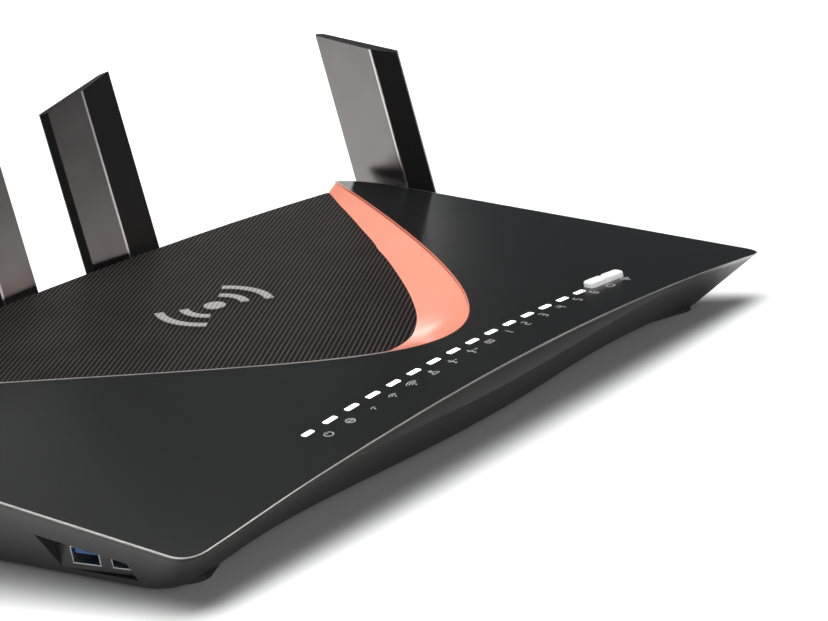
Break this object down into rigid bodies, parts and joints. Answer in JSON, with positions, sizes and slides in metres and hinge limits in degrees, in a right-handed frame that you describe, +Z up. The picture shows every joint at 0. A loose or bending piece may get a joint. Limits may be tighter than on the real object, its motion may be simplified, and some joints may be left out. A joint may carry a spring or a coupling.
{
  "type": "wireless router",
  "caption": "Desktop wireless router: wedge-shaped case with a sunken weave-pattern hood in a V-shaped band, lit window row, rear and side sockets, and hinged blade antennas.",
  "frame": {"origin": "on the table plane, under the middle of the whole object's box", "axes": "+X to the right as seen from the front, +Y to the rear, +Z up from the table"},
  "size_m": [0.3592, 0.2424, 0.1306],
  "materials": {
    "cover_black": "satin, finely textured",
    "silver_trim": "bright satin",
    "accent_copper": "metallic, glossy",
    "carbon_weave": "diagonal weave under a clear coat",
    "emblem_metal": "metallic, satin",
    "shell_grey": "matt, finely textured",
    "panel_black": "matt",
    "foot_rubber": "matt",
    "screw_steel": "satin",
    "board_green": "solder mask",
    "chip_black": "matt",
    "shield_steel": "satin",
    "heatsink_aluminium": "satin",
    "guide_white": "translucent, lit from behind",
    "key_white": "translucent, lit from behind",
    "socket_black": "matt",
    "contact_gold": "polished",
    "tongue_blue": "matt",
    "key_black": "satin",
    "antenna_black": "satin",
    "antenna_grey": "satin, slightly metallic",
    "ridge_silver": "bright satin",
    "radiator_copper": "bare"
  },
  "bodies": {
    "case": {"top_cover": "cover_black", "edge_trim": "silver_trim", "rim_trim": "silver_trim", "accent_trim": "accent_copper", "carbon_hood": "carbon_weave", "hood_emblem": "emblem_metal", "bottom_shell": "shell_grey", "rear_panel": "panel_black", "usb_bezel": "shell_grey", "rubber_feet": "foot_rubber", "case_screws": "screw_steel", "main_board": "board_green", "processor": "chip_black", "radio_shields": "shield_steel", "heatsink": "heatsink_aluminium", "led_board": "board_green", "light_guides": "guide_white", "front_switches": "chip_black", "lan_block": "socket_black", "wan_jack": "socket_black", "jack_contacts": "contact_gold", "sfp_cage": "shield_steel", "dc_jack": "socket_black", "dc_pin": "contact_gold", "power_switch": "chip_black", "reset_switch": "chip_black", "usb_shells": "shield_steel", "usb_tongues": "tongue_blue", "antenna_jacks": "screw_steel"},
    "wifi_key": {"wifi_button": "key_white"},
    "sync_key": {"sync_button": "key_white"},
    "power_key": {"power_button": "key_black"},
    "reset_key": {"reset_button": "key_black"},
    "rear_right_elbow": {"rear_right_knuckle": "antenna_black"},
    "rear_right_antenna": {"rear_right_blade": "antenna_black", "rear_right_face_plate": "antenna_grey", "rear_right_ridge_strip": "ridge_silver", "rear_right_radiator": "radiator_copper", "rear_right_pin": "screw_steel"},
    "rear_left_elbow": {"rear_left_knuckle": "antenna_black"},
    "rear_left_antenna": {"rear_left_blade": "antenna_black", "rear_left_face_plate": "antenna_grey", "rear_left_ridge_strip": "ridge_silver", "rear_left_radiator": "radiator_copper", "rear_left_pin": "screw_steel"},
    "side_right_elbow": {"side_right_knuckle": "antenna_black"},
    "side_right_antenna": {"side_right_blade": "antenna_black", "side_right_face_plate": "antenna_grey", "side_right_ridge_strip": "ridge_silver", "side_right_radiator": "radiator_copper", "side_right_pin": "screw_steel"},
    "side_left_elbow": {"side_left_knuckle": "antenna_black"},
    "side_left_antenna": {"side_left_blade": "antenna_black", "side_left_face_plate": "antenna_grey", "side_left_ridge_strip": "ridge_silver", "side_left_radiator": "radiator_copper", "side_left_pin": "screw_steel"}
  },
  "joints": [
    {"name": "rear_right_swivel", "type": "hinge", "parent": "case", "child": "rear_right_elbow", "pos_m": [0.034, 0.10877, 0.0425], "axis": [0, 1, 0], "range_deg": [-6, 45]},
    {"name": "rear_right_tilt", "type": "hinge", "parent": "rear_right_elbow", "child": "rear_right_antenna", "pos_m": [0.034, 0.10877, 0.0425], "axis": [-1, 0, 0], "range_deg": [-5.2, 84.8]},
    {"name": "rear_left_swivel", "type": "hinge", "parent": "case", "child": "rear_left_elbow", "pos_m": [-0.034, 0.10877, 0.0425], "axis": [0, -1, 0], "range_deg": [-6, 45]},
    {"name": "rear_left_tilt", "type": "hinge", "parent": "rear_left_elbow", "child": "rear_left_antenna", "pos_m": [-0.034, 0.10877, 0.0425], "axis": [-1, 0, 0], "range_deg": [-5.2, 84.8]},
    {"name": "side_right_swivel", "type": "hinge", "parent": "case", "child": "side_right_elbow", "pos_m": [0.1725, 0.07497, 0.031], "axis": [0.9903, 0.1392, 0], "range_deg": [-40, 50]},
    {"name": "side_right_tilt", "type": "hinge", "parent": "side_right_elbow", "child": "side_right_antenna", "pos_m": [0.1725, 0.07497, 0.031], "axis": [-0.1386, 0.9862, -0.0906], "range_deg": [0, 90]},
    {"name": "side_left_swivel", "type": "hinge", "parent": "case", "child": "side_left_elbow", "pos_m": [-0.1725, 0.07497, 0.031], "axis": [0.9903, -0.1392, 0], "range_deg": [-40, 50]},
    {"name": "side_left_tilt", "type": "hinge", "parent": "side_left_elbow", "child": "side_left_antenna", "pos_m": [-0.1725, 0.07497, 0.031], "axis": [-0.1386, -0.9862, 0.0906], "range_deg": [0, 90]},
    {"name": "wifi_key_press", "type": "slide", "parent": "case", "child": "wifi_key", "axis": [0, 0, -1], "range_m": [0, 0.0006], "stiffness_N_per_m": 900},
    {"name": "sync_key_press", "type": "slide", "parent": "case", "child": "sync_key", "axis": [0, 0, -1], "range_m": [0, 0.0006], "stiffness_N_per_m": 900},
    {"name": "power_key_press", "type": "slide", "parent": "case", "child": "power_key", "axis": [0, -1, 0], "range_m": [0, 0.003], "stiffness_N_per_m": 300},
    {"name": "reset_key_press", "type": "slide", "parent": "case", "child": "reset_key", "axis": [0, -1, 0], "range_m": [0, 0.001], "stiffness_N_per_m": 500}
  ]
}
